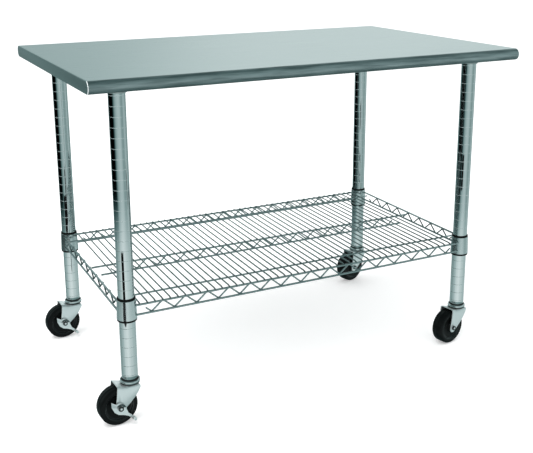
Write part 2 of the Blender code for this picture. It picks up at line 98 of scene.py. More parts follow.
CASTER_HEADINGS = {"fl": 184, "fr": 192, "bl": 184, "br": 196}   # degrees from +X to the trail
CASTER_TRAIL = 0.0375
FORK_INNER = 0.0212
FORK_GAUGE = 0.0025
FORK_BEND = 0.0062
FORK_CROWN_Z = 0.104
FORK_NOSE_Z = 0.1102
WHEEL_HALF_WIDTH = 0.0185
RING_RADIUS = 0.0255
RING_HEIGHT = 0.0108
AXLE_RADIUS = 0.0040
BOLT_ACROSS = 0.0130
BOLT_HEAD = 0.0048              # height of the hexagon over the bolt's seat
BOLT_REACH = 0.0105             # how far the shank passes the far side of the fork
NUT_HEIGHT = 0.0056
WASHER_RADIUS = BOLT_ACROSS * 0.47
LEVER_GAUGE = 0.0020
GAP = 0.0003

CORNERS = {"fl": "front_left", "fr": "front_right", "bl": "back_left", "br": "back_right"}
BRAKED = ("fl", "bl")


def centre(node):
    low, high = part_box(node)
    return (low + high) / 2


POSTS = {corner: centre("post_" + corner) for corner in CORNERS}
POST_LOW, POST_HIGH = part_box("post_fl")
POST_RADIUS = (POST_HIGH.x - POST_LOW.x) / 2
TABLE_HEIGHT = cad_high.z
WHEEL_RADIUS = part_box("wheel_fl")[1].z / 2
COLLAR_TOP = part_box("shelf_frame")[1].z
LONG_RAIL_Z = centre("mid_rail_top").z
DECK_Z = centre("snake_left").z + TRUSS_HEIGHT / 2 + RAIL_RADIUS - DECK_RADIUS

# -------------------------------------------------------------- mesh helpers


def arc(centre_point, radius, first, last, steps):
    """Points on an arc in a plane, angles in degrees, both ends included."""
    points = []
    for k in range(steps + 1):
        angle = math.radians(first + (last - first) * k / steps)
        across, up = radius * math.cos(angle), radius * math.sin(angle)
        points.append((centre_point[0] + across, centre_point[1] + up))
    return points


def rounded(points, radius, steps, closed=True):
    """A 2-D outline with its corners turned into arcs of up to the given radius."""
    count = len(points)
    result = []
    for i, point in enumerate(points):
        here = Vector(point)
        if not closed and i in (0, count - 1):
            result.append(tuple(here))
            continue
        back = Vector(points[i - 1]) - here
        ahead = Vector(points[(i + 1) % count]) - here
        half = back.angle(ahead) / 2
        cut = min(radius / math.tan(half), 0.45 * back.length, 0.45 * ahead.length)
        start = here + back.normalized() * cut
        end = here + ahead.normalized() * cut
        for k in range(steps + 1):
            t = k / steps
            result.append(tuple(start * (1 - t) ** 2 + here * 2 * t * (1 - t) + end * t ** 2))
    return result


def revolve(bm, profile, segments, matrix=Matrix(), start=0.0, sweep=2 * math.pi, finishes=None):
    """Turn a closed (radius, z) profile about Z. finishes gives each profile side's material index."""
    full = abs(sweep - 2 * math.pi) < 1e-9
    steps = segments if full else segments + 1
    rings = []
    poles = {}
    for k in range(steps):
        angle = start + sweep * k / segments
        ring = []
        for index, (radius, z) in enumerate(profile):
            if radius == 0.0:
                if index not in poles:
                    poles[index] = bm.verts.new(matrix @ Vector((0, 0, z)))
                ring.append(poles[index])
            else:
                spot = Vector((radius * math.cos(angle), radius * math.sin(angle), z))
                ring.append(bm.verts.new(matrix @ spot))
        rings.append(ring)
    for k in range(segments):
        a, b = rings[k], rings[(k + 1) % steps]
        for i in range(len(profile)):
            j = (i + 1) % len(profile)
            around = list(dict.fromkeys((a[i], a[j], b[j], b[i])))
            if len(around) > 2:
                face = bm.faces.new(around)
                face.material_index = finishes[i] if finishes else 0
    if not full:
        bm.faces.new(rings[0])
        bm.faces.new(rings[-1])


def loft(bm, sections, matrix=Matrix(), caps=True):
    """Skin closed sections that all have the same number of points."""
    rings = [[bm.verts.new(matrix @ Vector(p)) for p in section] for section in sections]
    count = len(rings[0])
    for a, b in zip(rings, rings[1:]):
        for i in range(count):
            j = (i + 1) % count
            bm.faces.new((a[i], a[j], b[j], b[i]))
    if caps:
        bm.faces.new(rings[0])
        bm.faces.new(rings[-1])


WIRE_DOME = ((0.0, 0.45), (0.16, 0.82), (0.5, 1.0))     # depth and width of a wire's end, in radii


def swept(bm, points, radius, sides, normal):
    """A round wire along a flat polyline, mitred at its bends, with domed ends."""
    points = [Vector(p) for p in points]
    normal = Vector(normal).normalized()
    sections = []
    last = len(points) - 1
    for i, point in enumerate(points):
        before = (point - points[i - 1]).normalized() if i > 0 else None
        after = (points[i + 1] - point).normalized() if i < last else None
        before = before or after
        after = after or before
        across = (before.cross(normal) + after.cross(normal)).normalized()
        stretch = 1.0 / max(0.2, across.dot(before.cross(normal)))

        def ring(spot, size):
            around = []
            for k in range(sides):
                angle = 2 * math.pi * (k + 0.5) / sides
                offset = normal * math.cos(angle) + across * (math.sin(angle) * stretch)
                around.append(spot + offset * size)
            return around

        if i == 0:
            for depth, width in WIRE_DOME:
                sections.append(ring(point + after * radius * depth, radius * width))
        elif i == last:
            for depth, width in reversed(WIRE_DOME):
                sections.append(ring(point - before * radius * depth, radius * width))
        else:
            sections.append(ring(point, radius))
    loft(bm, sections)


def plate(bm, outline, low, high, axis, matrix=Matrix(), edge=0.0):
    """Extrude a 2-D outline along an axis; edge rounds off the rims of both faces."""
    middle = Vector((sum(p[0] for p in outline), sum(p[1] for p in outline))) / len(outline)
    place = {
        "X": lambda u, v, w: (w, u, v),
        "Y": lambda u, v, w: (u, w, v),
        "Z": lambda u, v, w: (u, v, w),
    }[axis]
    sign = 1 if high > low else -1
    levels = [(low, 0.0), (high, 0.0)]
    if edge:
        levels = [(low, edge), (low + sign * edge * 0.3, edge * 0.3), (low + sign * edge, 0.0)]
        levels += [(high - sign * edge, 0.0), (high - sign * edge * 0.3, edge * 0.3), (high, edge)]
    sections = []
    for w, inset in levels:
        section = []
        for u, v in outline:
            spot = Vector((u, v))
            inward = middle - spot
            spot += inward.normalized() * min(inset, inward.length * 0.4)
            section.append(place(spot.x, spot.y, w))
        sections.append(section)
    loft(bm, sections, matrix)


def solid(bm, name, finishes, sharp=40):
    """Close the bmesh into an object, smooth shaded with its hard edges kept."""
    bmesh.ops.recalc_face_normals(bm, faces=bm.faces[:])
    mesh = bpy.data.meshes.new(name)
    bm.to_mesh(mesh)
    bm.free()
    mesh.shade_smooth()
    mesh.set_sharp_from_angle(angle=math.radians(sharp))
    for finish in finishes:
        mesh.materials.append(finish)
    obj = bpy.data.objects.new(name, mesh)
    bpy.context.scene.collection.objects.link(obj)
    return obj


def carve(target, tool, operation):
    """Apply a boolean with a throw-away tool object."""
    cut = target.modifiers.new("cut", "BOOLEAN")
    cut.operation = operation
    cut.solver = "EXACT"
    cut.object = tool
    bpy.context.view_layer.update()
    ready = target.evaluated_get(bpy.context.evaluated_depsgraph_get())
    mesh = bpy.data.meshes.new_from_object(ready)
    target.modifiers.clear()
    target.data = mesh
    bpy.data.objects.remove(tool, do_unlink=True)
    return target


def settled(obj, sharp):
    """Take the object's modified mesh out of the scene as plain mesh data."""
    bpy.context.view_layer.update()
    ready = obj.evaluated_get(bpy.context.evaluated_depsgraph_get())
    mesh = bpy.data.meshes.new_from_object(ready)
    bpy.data.objects.remove(obj, do_unlink=True)
    mesh.shade_smooth()
    mesh.set_sharp_from_angle(angle=math.radians(sharp))
    return mesh


def stand_for(piece, body, slot, *nodes):
    """The piece takes the place of these CAD nodes and moves with their body."""
    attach(piece, body)
    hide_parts(*nodes)
    return piece


# ----------------------------------------------------------------- materials


def node(tree, kind, inputs=None, **settings):
    """Add one shader node, with its settings and with values or links on its inputs."""
    made = tree.nodes.new("ShaderNode" + kind)
    for key, value in settings.items():
        setattr(made, key, value)
    for key, value in (inputs or {}).items():
        if isinstance(value, bpy.types.NodeSocket):
            tree.links.new(value, made.inputs[key])
        else:
            made.inputs[key].default_value = value
    return made


def noise(tree, scale, stretch=(1, 1, 1), detail=3.0):
    """Noise over the object's own coordinates, finer along the axes with more stretch."""
    where = node(tree, "TexCoord")
    spread = node(tree, "Mapping", {"Vector": where.outputs["Object"], "Scale": stretch})
    grain = node(tree, "TexNoise", {"Vector": spread.outputs[0], "Scale": scale, "Detail": detail})
    return grain.outputs["Fac"]


def between(tree, factor, low, high):
    """Spread a noise value over a range of numbers."""
    return node(
        tree, "MapRange",
        {"Value": factor, "From Min": 0.3, "From Max": 0.7, "To Min": low, "To Max": high},
    ).outputs["Result"]


def mixed(tree, factor, first, second):
    """Mix two colours; each of the three may be a socket or a value."""
    mix = node(tree, "Mix", data_type="RGBA")
    for socket, value in zip((mix.inputs[0], mix.inputs[6], mix.inputs[7]), (factor, first, second)):
        if isinstance(value, bpy.types.NodeSocket):
            tree.links.new(value, socket)
        else:
            socket.default_value = value
    return mix.outputs[2]


def surface(name, metallic, colour, roughness, bump=None, specular=0.5):
    """A Principled material: two colours and two roughness values, each spread by its own noise.

    colour is (noise scale, stretch, first, second), roughness is (noise scale, stretch, low,
    high), and bump is (noise scale, stretch, strength, height).
    """
    mat = bpy.data.materials.new(name)
    mat.use_nodes = True
    tree = mat.node_tree
    shader = tree.nodes["Principled BSDF"]
    shader.inputs["Metallic"].default_value = metallic
    shader.inputs["Specular IOR Level"].default_value = specular
    scale, stretch, first, second = colour
    spread = between(tree, noise(tree, scale, stretch), 0.0, 1.0)
    tree.links.new(mixed(tree, spread, (*first, 1), (*second, 1)), shader.inputs["Base Color"])
    scale, stretch, low, high = roughness
    tree.links.new(between(tree, noise(tree, scale, stretch), low, high), shader.inputs["Roughness"])
    if bump:
        scale, stretch, strength, height = bump
        relief = node(
            tree, "Bump",
            {"Height": noise(tree, scale, stretch, 2.0), "Strength": strength, "Distance": height},
        )
        tree.links.new(relief.outputs[0], shader.inputs["Normal"])
    return mat


STAINLESS = surface(
    "brushed_stainless", 1.0,
    (9.0, (0.5, 30, 30), (0.585, 0.655, 0.650), (0.605, 0.675, 0.670)),
    (6.0, (0.6, 60, 60), 0.27, 0.34),
    (5.0, (1.0, 300, 300), 0.02, 0.0002),
)
# The top's steel made much darker for the half-round edges: painted shade. Its long light and dark
# bands along the length are mottling and also a painted reflection.
NOSE_SHADED_STEEL = surface(
    "nose_steel_painted_shade", 1.0,
    (9.0, (1.3, 18, 18), (0.245, 0.300, 0.305), (0.545, 0.615, 0.620)),
    (6.0, (0.6, 60, 60), 0.42, 0.50),
    (5.0, (1.0, 300, 300), 0.02, 0.0002),
)
# Pale, half-metallic steel for the bends where the sheet turns down at the ends: a painted highlight
# along the corner seam.
BEND_GLINT = surface(
    "end_bend_painted_highlight", 0.3,
    (120.0, (1, 1, 1), (0.80, 0.86, 0.86), (0.90, 0.94, 0.94)),
    (60.0, (1, 1, 1), 0.34, 0.46),
)
CHANNEL_STEEL = surface(
    "channel_steel", 1.0,
    (14.0, (1, 1, 1), (0.50, 0.54, 0.53), (0.58, 0.62, 0.61)),
    (40.0, (1, 1, 1), 0.36, 0.50),
)
CHROME = surface(
    "bright_chrome", 1.0,
    (12.0, (1, 1, 1), (0.700, 0.745, 0.745), (0.725, 0.765, 0.765)),
    (35.0, (1, 1, 1), 0.03, 0.07),
    (55.0, (1, 1, 1), 0.04, 0.0002),
)
COLLAR_CHROME = surface(
    "collar_chrome", 1.0,
    (12.0, (1, 1, 1), (0.715, 0.760, 0.760), (0.740, 0.780, 0.780)),
    (35.0, (1, 1, 1), 0.15, 0.20),
    (55.0, (1, 1, 1), 0.04, 0.0002),
)
ROLLED_GROOVE = surface(
    "rolled_groove", 0.9,
    (80.0, (1, 1, 1), (0.67, 0.72, 0.72), (0.75, 0.80, 0.80)),
    (60.0, (1, 1, 1), 0.16, 0.24),
)
RAIL_CHROME = surface(
    "rail_chrome", 1.0,
    (20.0, (1, 1, 1), (0.49, 0.55, 0.55), (0.56, 0.62, 0.62)),
    (60.0, (1, 1, 1), 0.04, 0.09),
)
# A much darker copy of the rails' chrome for the deck wires and the side zigzags: painted shade.
SHADED_WIRE_CHROME = surface(
    "wire_chrome_painted_shade", 1.0,
    (20.0, (1, 1, 1), (0.22, 0.27, 0.27), (0.29, 0.34, 0.34)),
    (60.0, (1, 1, 1), 0.05, 0.10),
)
ZINC = surface(
    "zinc_plate", 0.88,
    (14.0, (1, 1, 1), (0.86, 0.91, 0.91), (0.92, 0.95, 0.95)),
    (30.0, (1, 1, 1), 0.28, 0.33),
    (160.0, (1, 1, 1), 0.01, 0.0002),
)
# Dark zinc for the hollow under the lever's raised rim: painted shade.
LEVER_SHADE_ZINC = surface(
    "lever_hollow_painted_shade", 0.9,
    (60.0, (1, 1, 1), (0.10, 0.135, 0.135), (0.16, 0.20, 0.20)),
    (60.0, (1, 1, 1), 0.36, 0.46),
)
# Near-black for the set screws and the bearing ring's seals; it is also the painted shade on the bolt
# heads and in the bearing ring's grooves.
SEAL_BLACK_AND_SHADE = surface(
    "seal_black_and_painted_shade", 0.0,
    (60.0, (1, 1, 1), (0.010, 0.014, 0.014), (0.020, 0.026, 0.026)),
    (60.0, (1, 1, 1), 0.45, 0.60),
)
PLASTIC = surface(
    "black_plastic", 0.0,
    (60.0, (1, 1, 1), (0.0018, 0.0022, 0.0022), (0.0040, 0.0046, 0.0046)),
    (80.0, (1, 1, 1), 0.50, 0.62),
    (400.0, (1, 1, 1), 0.15, 0.0001),
    specular=0.12,
)
TREAD = surface(
    "moulded_wheel", 0.0,
    (50.0, (1, 1, 1), (0.0016, 0.0022, 0.0022), (0.0032, 0.0042, 0.0042)),
    (70.0, (1, 1, 1), 0.34, 0.46),
    (300.0, (1, 1, 1), 0.15, 0.0002),
    specular=0.16,
)
TREAD_STEP = surface(
    "wheel_step", 0.0,
    (50.0, (1, 1, 1), (0.0030, 0.0040, 0.0040), (0.0050, 0.0062, 0.0062)),
    (70.0, (1, 1, 1), 0.16, 0.22),
    specular=0.6,
)

# ----------------------------------------------------------------- table top


def worktop():
    """The folded sheet: rounded long edges with their return lips, and an end plate at each end."""
    low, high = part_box("worktop_sheet")
    nose = TOP_EDGE / 2
    bore = nose - TOP_GAUGE
    round_y = high.y - nose
    mid_z = high.z - nose
    lip_y = round_y - TOP_RETURN

    def oval(radius):
        front = arc((-round_y, mid_z), radius, 90, 270, 24)
        return arc((round_y, mid_z), radius, -90, 90, 24) + front

    skin = [(lip_y, mid_z - nose), *oval(nose), (-lip_y, mid_z - nose), (-lip_y, mid_z - bore)]
    skin += [*reversed(oval(bore)), (lip_y, mid_z - bore)]
    reach = high.x - END_BEND
    bm = bmesh.new()
    loft(bm, [[(x, y, z) for y, z in skin] for x in (-reach, 0.0, reach)])
    for side in (-1, 1):
        sections = [[(side * (high.x - TOP_GAUGE), y, z) for y, z in oval(nose)]]
        for turn in (0, 22.5, 45, 67.5, 90):
            inset = END_BEND * (1 - math.cos(math.radians(turn)))
            x = side * (reach + END_BEND * math.sin(math.radians(turn)))
            sections.append([(x, y, z) for y, z in oval(nose - inset)])
        loft(bm, sections)
    for face in bm.faces:
        spot = face.calc_center_median()
        # The half-round edges take the darker steel of painted shade; the bends at their ends take the
        # pale steel of a painted highlight.
        if abs(spot.y) > round_y + nose * 0.3:
            on_bend = reach < abs(spot.x) < high.x - 1e-6
            face.material_index = 1 if on_bend else 2
    piece = solid(bm, "worktop_skin", [STAINLESS, BEND_GLINT, NOSE_SHADED_STEEL])
    stand_for(piece, "frame", "stainless", "worktop_sheet")


# --------------------------------------------------------------------- posts


def post_profile():
    """Closed (radius, z) profile of the tube, rolled grooves at every inch on the outside.

    Also returns the finish of each side of the profile: 1 in the grooves, 0 elsewhere.
    """
    low, high = POST_LOW.z, POST_HIGH.z
    inner = POST_RADIUS - POST_WALL
    profile = [(inner, low), (POST_RADIUS - 0.0006, low), (POST_RADIUS, low + 0.0006)]
    finishes = [0, 0, 0]
    first = TABLE_HEIGHT - GROOVE_FIRST
    count = int((first - low - GROOVE_HEIGHT) / GROOVE_PITCH) + 1
    for k in reversed(range(count)):
        z = first - k * GROOVE_PITCH
        profile.append((POST_RADIUS, z - GROOVE_HEIGHT * 0.56))
        for step in range(-4, 5):
            depth = GROOVE_DEPTH * 0.5 * (1 + math.cos(math.pi * step / 4))
            profile.append((POST_RADIUS - depth, z + step * GROOVE_HEIGHT / 8))
        profile.append((POST_RADIUS, z + GROOVE_HEIGHT * 0.56))
        finishes += [0, *[1] * 8, 0, 0]
    profile += [(POST_RADIUS, high), (inner, high)]
    return profile, finishes + [0, 0]


def sleeve_profile():
    """Tapered sleeve half: thin at the top, thick at the bottom, its lips rounded."""
    top = COLLAR_TOP + SLEEVE_OVERHANG
    bottom = COLLAR_TOP - COLLAR_HEIGHT - SLEEVE_OVERHANG
    inner = POST_RADIUS + GAP
    thin = COLLAR_TOP_RADIUS - COLLAR_WALL - GAP
    thick = COLLAR_BOTTOM_RADIUS - COLLAR_WALL - GAP
    lip = 0.0016
    return [
        (inner, bottom), (thick + lip * 0.4, bottom), (thick + lip, bottom + lip * 0.7),
        (thick + lip, bottom + SLEEVE_OVERHANG - GAP), (thick, bottom + SLEEVE_OVERHANG),
        (thin, top - SLEEVE_OVERHANG), (thin, top - SLEEVE_OVERHANG + GAP),
        (thin + lip, top - SLEEVE_OVERHANG + GAP), (thin + lip, top - lip * 0.7),
        (thin + lip * 0.4, top), (inner, top),
    ]


def build_posts():
    outline, finishes = post_profile()
    for corner, spot in POSTS.items():
        place = Matrix.Translation((spot.x, spot.y, 0))
        bm = bmesh.new()
        revolve(bm, outline, 56, place, finishes=finishes)
        tube = solid(bm, "post_tube_" + corner, [CHROME, ROLLED_GROOVE], 60)
        stand_for(tube, "frame", "chrome", "post_" + corner)
        facing = 0.0 if spot.y > 0 else math.pi
        trim = SLEEVE_SPLIT / 2 / POST_RADIUS
        for which, start in (("outer", facing), ("inner", facing + math.pi)):
            bm = bmesh.new()
            revolve(bm, sleeve_profile(), 28, place, start + trim, math.pi - 2 * trim)
            half = solid(bm, "taper_sleeve_" + which + "_" + corner, [PLASTIC])
            stand_for(half, "frame", "black_plastic", "sleeve_" + which + "_" + corner)


# --------------------------------------------------------------- under-shelf

SHELF_X = max(spot.x for spot in POSTS.values())
SHELF_Y = max(spot.y for spot in POSTS.values())
SIDE_RAIL_Z = DECK_Z + DECK_RADIUS - RAIL_RADIUS
FRONT_Y = SHELF_Y + RAIL_OFFSET
SIDE_X = SHELF_X + RAIL_OFFSET


def collar_profile():
    low = COLLAR_TOP - COLLAR_HEIGHT
    lip = 0.0005
    return [
        (COLLAR_BOTTOM_RADIUS - COLLAR_WALL, low), (COLLAR_BOTTOM_RADIUS - lip, low),
        (COLLAR_BOTTOM_RADIUS, low + lip), (COLLAR_TOP_RADIUS, COLLAR_TOP - lip),
        (COLLAR_TOP_RADIUS - lip, COLLAR_TOP), (COLLAR_TOP_RADIUS - COLLAR_WALL, COLLAR_TOP),
    ]


def straight(bm, start, end, radius, sides):
    """One straight wire; wires along Z are not used, so Z serves as the section's normal."""
    swept(bm, [start, end], radius, sides, (0, 0, 1))


def rail_reach(half_span, z):
    """How far along the side a rail runs before it meets the middle of the collar's wall."""
    share = (COLLAR_TOP - z) / COLLAR_HEIGHT
    wall = COLLAR_TOP_RADIUS + (COLLAR_BOTTOM_RADIUS - COLLAR_TOP_RADIUS) * share - COLLAR_WALL * 0.7
    return half_span - math.sqrt(wall ** 2 - (RAIL_OFFSET - RAIL_RADIUS) ** 2)


def shelf_frame():
    """The four collars with the top and bottom rails of all four sides."""
    bm = bmesh.new()
    profile = collar_profile()
    for spot in POSTS.values():
        place = Matrix.Translation((spot.x, spot.y, 0))
        revolve(bm, profile, 56, place, finishes=[1] * len(profile))
    for drop in (0.0, TRUSS_HEIGHT):
        z = LONG_RAIL_Z - drop
        reach = rail_reach(SHELF_X, z)
        for y in (-FRONT_Y, FRONT_Y):
            straight(bm, (-reach, y, z), (reach, y, z), RAIL_RADIUS, 14)
        z = SIDE_RAIL_Z - drop
        reach = rail_reach(SHELF_Y, z)
        for x in (-SIDE_X, SIDE_X):
            straight(bm, (x, -reach, z), (x, reach, z), RAIL_RADIUS, 14)
    return solid(bm, "collars_and_rails", [RAIL_CHROME, COLLAR_CHROME])


def shelf_deck():
    """The row of deck wires on their two stringers, their ends pressed down onto the long rails."""
    low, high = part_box("shelf_deck")
    reach = high.y
    # The pitch follows the CAD's own wires, which are six-sided with corners 30 degrees off X.
    bars = [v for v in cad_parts["shelf_deck"].data.vertices if abs(v.co.y) > reach - 0.001]
    last = max(v.co.x for v in bars) - DECK_RADIUS * math.cos(math.pi / 6)
    pitch = 2 * last / (DECK_COUNT - 1)
    bm = bmesh.new()
    z = DECK_Z - WELD_SINK
    line = [(-reach, z - END_DIP), (END_DIP_RUN - reach, z)]
    line += [(reach - END_DIP_RUN, z), (reach, z - END_DIP)]
    for k in range(DECK_COUNT):
        x = (k - (DECK_COUNT - 1) / 2) * pitch
        swept(bm, [(x, y, height) for y, height in line], DECK_RADIUS, 12, (1, 0, 0))
    wires = len(bm.faces)
    z = DECK_Z - DECK_RADIUS - STRINGER_RADIUS
    for y in (-STRINGER_Y, STRINGER_Y):
        straight(bm, (low.x, y, z), (high.x, y, z), STRINGER_RADIUS, 12)
    bm.faces.ensure_lookup_table()
    for face in bm.faces[wires:]:
        face.material_index = 1
    # Deck wires in the darker chrome of painted shade, the stringers in rail chrome.
    return solid(bm, "deck_wires", [SHADED_WIRE_CHROME, RAIL_CHROME])


def zigzag(half_count, high, low):
    """Centre line in the XZ plane of a zigzag wire with rounded bends and free ends half way up."""
    run = SNAKE_PITCH / 2
    middle = (high + low) / 2
    start = -half_count * run
    corners = [(start - run / 2, middle)]
    for k in range(2 * half_count + 1):
        corners.append((start + k * run, low if k % 2 == 0 else high))
    corners.append((-corners[0][0], middle))
    return rounded(corners, SNAKE_BEND, 5, closed=False)


def build_shelf():
    stand_for(shelf_frame(), "shelf", "chrome", "shelf_frame")
    stand_for(shelf_deck(), "shelf", "chrome", "shelf_deck")
    inboard = RAIL_RADIUS + SNAKE_RADIUS - WELD_SINK
    low = LONG_RAIL_Z - TRUSS_HEIGHT
    long_line = zigzag(15, LONG_RAIL_Z, low)
    short_line = zigzag(7, SIDE_RAIL_Z, SIDE_RAIL_Z - TRUSS_HEIGHT)
    for where, y in (("front", -FRONT_Y + inboard), ("mid", inboard), ("rear", FRONT_Y - inboard)):
        bm = bmesh.new()
        swept(bm, [(x, y, z) for x, z in long_line], SNAKE_RADIUS, 10, (0, 1, 0))
        piece = solid(bm, "zigzag_" + where, [RAIL_CHROME])
        stand_for(piece, "shelf", "chrome", "snake_" + where)
    for where, x in (("left", -SIDE_X + inboard), ("right", SIDE_X - inboard)):
        bm = bmesh.new()
        swept(bm, [(x, y, z) for y, z in short_line], SNAKE_RADIUS, 10, (1, 0, 0))
        # The side zigzags in the darker chrome of painted shade.
        piece = solid(bm, "zigzag_" + where, [SHADED_WIRE_CHROME])
        stand_for(piece, "shelf", "chrome", "snake_" + where)
    for where in ("top", "bottom"):
        node_name = "mid_rail_" + where
        box_low, box_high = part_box(node_name)
        z = (box_low.z + box_high.z) / 2
        bm = bmesh.new()
        straight(bm, (box_low.x, 0, z), (box_high.x, 0, z), RAIL_RADIUS, 14)
        piece = solid(bm, "middle_rail_" + where, [RAIL_CHROME])
        stand_for(piece, "shelf", "chrome", node_name)


# ------------------------------------------------------------------- casters
# Modelled with the swivel axis at x = y = 0 and the wheel trailing along +X.

FORK_RAMP = 0.0240              # where along the trail the crown starts to rise to the nose
FORK_RAMP_RUN = 0.0180
FORK_SIDE = [                   # (trail, height) outline of the stamped fork seen from the side
    (-0.0190, 0.0955), (-0.0180, 0.1010), (-0.0140, FORK_CROWN_Z), (FORK_RAMP, FORK_CROWN_Z),
    (0.0420, FORK_NOSE_Z), (0.0430, FORK_NOSE_Z - 0.0022), (0.0436, 0.0980),
    (0.0448, 0.0850), (0.0476, 0.0660), (0.0500, 0.0530), (0.0496, 0.0440), (0.0450, 0.0382),
    (0.0375, 0.0368), (0.0300, 0.0402), (0.0210, 0.0490), (0.0075, 0.0605), (-0.0055, 0.0740),
    (-0.0130, 0.0850),
]
LEVER_OUTLINE = [               # (trail, height) from the axle, round the stamped brake lever
    (0.0255, 0.0245), (0.0238, 0.0080), (0.0170, -0.0070), (0.0065, -0.0160), (-0.0080, -0.0205),
    (-0.0170, -0.0245), (-0.0280, -0.0320), (-0.0315, -0.0275), (-0.0205, -0.0180),
    (-0.0158, -0.0060), (-0.0150, 0.0015), (-0.0100, 0.0088), (-0.0040, 0.0142),
    (0.0023, 0.0165), (0.0080, 0.0160), (0.0125, 0.0152), (0.0200, 0.0200),
]
LEVER_TAB = [                   # the foot tab, likewise
    (-0.0305, -0.0270), (-0.0265, -0.0320), (-0.0345, -0.0385), (-0.0385, -0.0335),
]
LEVER_TAB_REACH = 0.0140
LEVER_RELIEF = 0.0028           # how far the upper rim is raised off the flat seat
LEVER_HOLLOW = (0.0074, 0.0128)         # from the axle, the band over the bolt painted dark as the hollow's shade
LEVER_HOLLOW_STEP = (0.0118, 0.0140)    # and where the plate steps up from it
RIM_STEP = (0.0126, 0.0180)     # below the tread, the glossier step down to the wheel's web
KINGPIN_HOLE = 0.0064
OUTSIDE = FORK_INNER + FORK_GAUGE + GAP     # where a bolt or a lever sits, from the wheel's middle


def crown_height(x):
    """Height of the fork's crown along the trail: flat over the swivel, then up to the nose."""
    return FORK_CROWN_Z + (FORK_NOSE_Z - FORK_CROWN_Z) * max(0.0, (x - FORK_RAMP) / FORK_RAMP_RUN)


def fork():
    """Bent sheet fork: a channel with rounded shoulders, trimmed to the side outline."""
    bm = bmesh.new()
    wide = FORK_INNER + FORK_GAUGE
    skirt = 0.030
    sections = []
    for k in range(31):
        x = -0.028 + 0.088 * k / 30
        top = crown_height(x)
        outer = [(-wide, skirt)] + arc((-wide + FORK_BEND, top - FORK_BEND), FORK_BEND, 180, 90, 6)
        outer += arc((wide - FORK_BEND, top - FORK_BEND), FORK_BEND, 90, 0, 6) + [(wide, skirt)]
        bend = FORK_BEND - FORK_GAUGE
        inner = [(FORK_INNER, skirt)] + arc((FORK_INNER - bend, top - FORK_BEND), bend, 0, 90, 6)
        inner += arc((-FORK_INNER + bend, top - FORK_BEND), bend, 90, 180, 6) + [(-FORK_INNER, skirt)]
        sections.append([(x, y, z) for y, z in outer + inner])
    loft(bm, sections)
    shell = solid(bm, "fork", [ZINC])
    bm = bmesh.new()
    plate(bm, rounded(FORK_SIDE, 0.005, 4), -0.05, 0.05, "Y")
    trim = solid(bm, "fork_outline", [ZINC])
    carve(shell, trim, "INTERSECT")
    bm = bmesh.new()
    axle = Matrix.Translation((CASTER_TRAIL, 0, WHEEL_RADIUS)) @ Matrix.Rotation(math.pi / 2, 4, "X")
    hole = AXLE_RADIUS + 0.0004
    revolve(bm, [(0.0, -0.04), (hole, -0.04), (hole, 0.04), (0.0, 0.04)], 24, axle)
    revolve(bm, [(0.0, 0.09), (KINGPIN_HOLE, 0.09), (KINGPIN_HOLE, 0.12), (0.0, 0.12)], 24)
    holes = solid(bm, "fork_holes", [ZINC])
    carve(shell, holes, "DIFFERENCE")
    edges = shell.modifiers.new("edges", "BEVEL")
    edges.width = 0.0005
    edges.segments = 2
    edges.limit_method = "ANGLE"
    edges.angle_limit = math.radians(50)
    edges.use_clamp_overlap = True
    return settled(shell, 40)


def wheel():
    """Tread with rounded shoulders and a parting ridge, a dished web and the hub, about Z."""
    rim, half = WHEEL_RADIUS, WHEEL_HALF_WIDTH
    bore = AXLE_RADIUS + 0.0005
    web = half - 0.0055
    side = [(rim, 0.0006), (rim - 0.0002, 0.0010)]
    side += arc((rim - 0.0072, half - 0.0072), 0.0070, 0, 90, 8)
    side += [
        (rim - 0.0125, half - 0.0002), (rim - 0.0140, half - 0.0009), (rim - 0.0165, web + 0.0006),
        (rim - RIM_STEP[1], web), (0.0190, web), (0.0172, web + 0.0007), (0.0160, half - 0.0012),
        (0.0150, half - 0.0004), (0.0135, half - 0.0002), (bore + 0.0006, half - 0.0002),
        (bore, half - 0.0008),
    ]
    profile = [(r, -z) for r, z in reversed(side)] + side
    bm = bmesh.new()
    revolve(bm, profile, 72)
    for face in bm.faces:
        spot = face.calc_center_median()
        depth = rim - math.hypot(spot.x, spot.y)
        face.material_index = 1 if RIM_STEP[0] < depth < RIM_STEP[1] else 0
    return settled(solid(bm, "wheel", [TREAD, TREAD_STEP]), 35)


def hex_ring(across, radius_limit, samples=48):
    """A hexagon sampled all round, cut back to a circle where it would pass the limit."""
    ring = []
    for k in range(samples):
        angle = 2 * math.pi * k / samples
        off = (angle + math.pi / 6) % (math.pi / 3) - math.pi / 6
        ring.append((min(across / 2 / math.cos(off), radius_limit), angle))
    return ring


def hex_head(bm, across, low, high, matrix, boss=0.0):
    """Hexagon with both rims chamfered; a boss leaves a low dome on the high face."""
    chamfer = 0.0009
    sign = 1 if high > low else -1
    sections = []
    levels = [                  # (height, radius the hexagon is cut back to)
        (low, across / 2 * 0.99), (low + sign * chamfer * 0.6, across),
        (high - sign * chamfer * 1.4, across), (high - sign * chamfer * 0.5, across / 2 * 1.06),
        (high, across / 2 * 0.90),
    ]
    if boss:
        levels += [
            (high - sign * 0.0006, across * 0.30), (high - sign * 0.0006, across * 0.25),
            (high + sign * boss * 0.6, across * 0.22), (high + sign * boss, across * 0.12),
        ]
    for z, limit in levels:
        ring = [(r * math.cos(a), r * math.sin(a), z) for r, a in hex_ring(across, limit)]
        sections.append(ring)
    loft(bm, sections, matrix)


